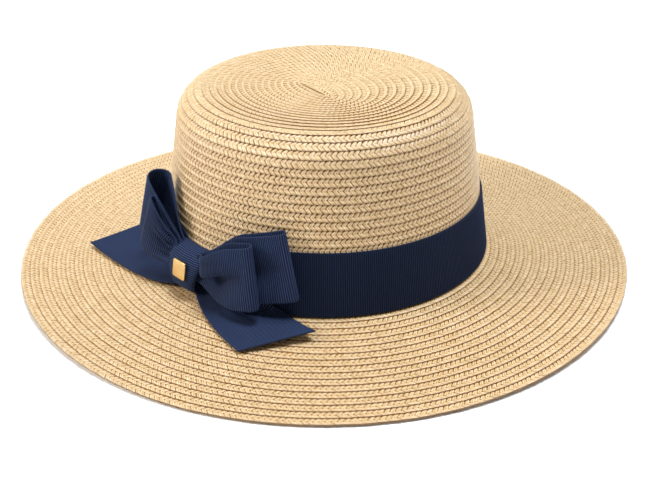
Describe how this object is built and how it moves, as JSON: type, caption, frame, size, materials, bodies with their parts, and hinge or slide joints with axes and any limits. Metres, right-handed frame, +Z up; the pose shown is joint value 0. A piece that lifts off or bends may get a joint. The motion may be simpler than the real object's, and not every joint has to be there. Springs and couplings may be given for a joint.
{
  "type": "straw boater hat",
  "caption": "Wide-brimmed boater hat of sewn straw braid with a flat crown, a navy grosgrain band, and a navy double bow with two tails and a small gold plate on its knot.",
  "frame": {"origin": "middle of the brim's outline on the surface that the hat rests on", "axes": "+Z up along the crown's axis; the wearer's front is -Y; the bow is on the -X side, at the wearer's right"},
  "size_m": [0.348, 0.348, 0.1033],
  "materials": {
    "straw": "matte plaited straw",
    "band_ribbon": "fine-ribbed grosgrain, low sheen",
    "bow_ribbon": "fine-ribbed grosgrain, low sheen",
    "plate_metal": "polished gold tone"
  },
  "bodies": {
    "root": {"brim": "straw", "crown": "straw", "hat_band": "band_ribbon", "bow_knot": "bow_ribbon", "bow_loop_right_back": "bow_ribbon", "bow_loop_right_front": "bow_ribbon", "bow_loop_left_back": "bow_ribbon", "bow_loop_left_front": "bow_ribbon", "bow_tail_right": "bow_ribbon", "bow_tail_left": "bow_ribbon", "bow_plate": "plate_metal"}
  },
  "joints": []
}
